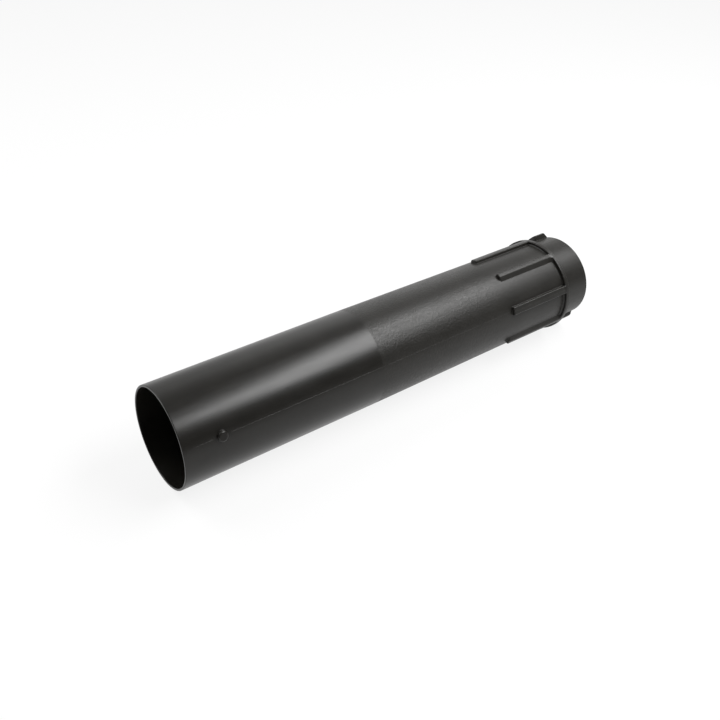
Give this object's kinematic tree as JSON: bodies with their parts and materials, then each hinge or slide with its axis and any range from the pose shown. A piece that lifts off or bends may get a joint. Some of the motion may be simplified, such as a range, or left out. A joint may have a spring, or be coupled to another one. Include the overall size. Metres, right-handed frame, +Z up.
{
  "type": "leaf blower nozzle tube",
  "caption": "Straight black plastic duct for a leaf blower, with a plain round mouth and locking pegs, a ribbed grip, a thin flange and a bayonet spigot.",
  "frame": {"origin": "centre of the plain mouth's rim", "axes": "+X along the duct from the plain mouth to the spigot, +Z up as the tube lies on its flange"},
  "size_m": [0.411, 0.0842, 0.0842],
  "materials": {
    "black_plastic": "satin black moulded plastic, finely grained along the middle"
  },
  "bodies": {
    "root": {"nozzle_tube": "black_plastic"}
  },
  "joints": []
}
